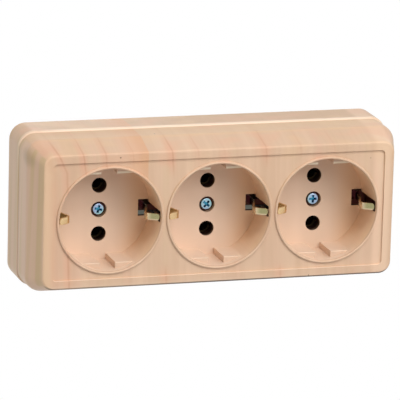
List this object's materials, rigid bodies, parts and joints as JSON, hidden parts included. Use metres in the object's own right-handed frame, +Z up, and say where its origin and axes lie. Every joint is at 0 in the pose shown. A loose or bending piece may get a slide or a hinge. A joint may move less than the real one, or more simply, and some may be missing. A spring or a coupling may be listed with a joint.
{
  "type": "triple wall socket outlet",
  "caption": "Surface-mounted wall socket outlet in pine-look plastic, with round earthed wells in a row, side earth clips and pin holes one above the other.",
  "frame": {"origin": "centre of the flat back face, on the wall", "axes": "+X to the right along the length seen from the front, +Y into the wall, +Z up"},
  "size_m": [0.1466, 0.0382, 0.0606],
  "materials": {
    "pine_moulding": "satin, pine look",
    "carrier_moulding": "matt",
    "brass": "stamped and turned",
    "zinc_steel": "zinc plated"
  },
  "bodies": {
    "root": {"block_screws_1": "zinc_steel", "block_screws_2": "zinc_steel", "block_screws_3": "zinc_steel", "contact_block_1": "carrier_moulding", "contact_block_2": "carrier_moulding", "contact_block_3": "carrier_moulding", "cover_screw_1": "zinc_steel", "cover_screw_2": "zinc_steel", "cover_screw_3": "zinc_steel", "earth_bar": "brass", "earth_bracket_1": "brass", "earth_bracket_2": "brass", "earth_bracket_3": "brass", "earth_rivets": "brass", "earth_terminal": "brass", "earth_terminal_screw": "zinc_steel", "front_cover": "pine_moulding", "insert_nut_1": "brass", "insert_nut_2": "brass", "insert_nut_3": "brass", "live_busbar": "zinc_steel", "live_sleeve_1": "brass", "live_sleeve_2": "brass", "live_sleeve_3": "brass", "live_terminal": "brass", "live_terminal_screw": "zinc_steel", "mounting_base": "pine_moulding", "neutral_busbar": "zinc_steel", "neutral_sleeve_1": "brass", "neutral_sleeve_2": "brass", "neutral_sleeve_3": "brass", "neutral_terminal": "brass", "neutral_terminal_screw": "zinc_steel"}
  },
  "joints": []
}
